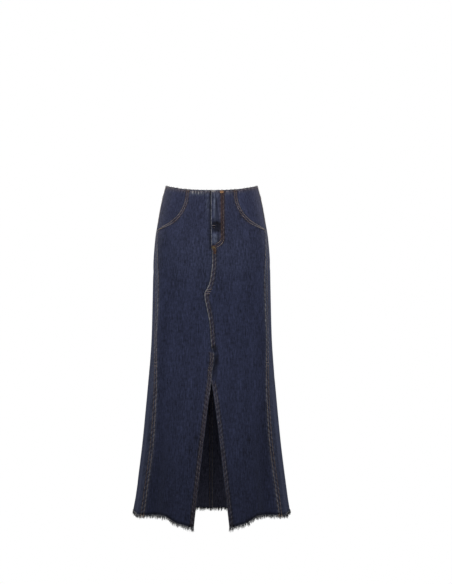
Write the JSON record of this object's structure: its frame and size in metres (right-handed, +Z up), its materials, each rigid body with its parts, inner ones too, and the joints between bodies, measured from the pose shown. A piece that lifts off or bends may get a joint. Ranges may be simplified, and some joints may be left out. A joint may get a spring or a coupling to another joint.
{
  "type": "long denim skirt",
  "caption": "Long flared denim skirt with a fly front, curved front pockets, a high front slit and a frayed raw hem, held at the waist.",
  "frame": {"origin": "middle of the waist opening, at its mean height, where the wearer's waist holds the skirt", "axes": "+Z up out of the waist, front towards -Y, the wearer's left towards +X"},
  "size_m": [0.4553, 0.3462, 0.9712],
  "materials": {
    "denim": "dark indigo cotton twill, dry and matt, a little paler where it is worn",
    "frayed_threads": "loose cotton threads, pale grey and indigo",
    "zip_tape": "woven navy tape",
    "brass": "dull antique brass"
  },
  "bodies": {
    "root": {"front_right": "denim", "front_left": "denim", "hip_right": "denim", "hip_left": "denim", "yoke_right": "denim", "yoke_left": "denim", "back_right": "denim", "back_left": "denim", "fly_shield": "denim", "zip": "zip_tape", "zip_slider": "brass", "fray_front_right": "frayed_threads", "fray_front_left": "frayed_threads", "fray_back_right": "frayed_threads", "fray_back_left": "frayed_threads"}
  },
  "joints": []
}
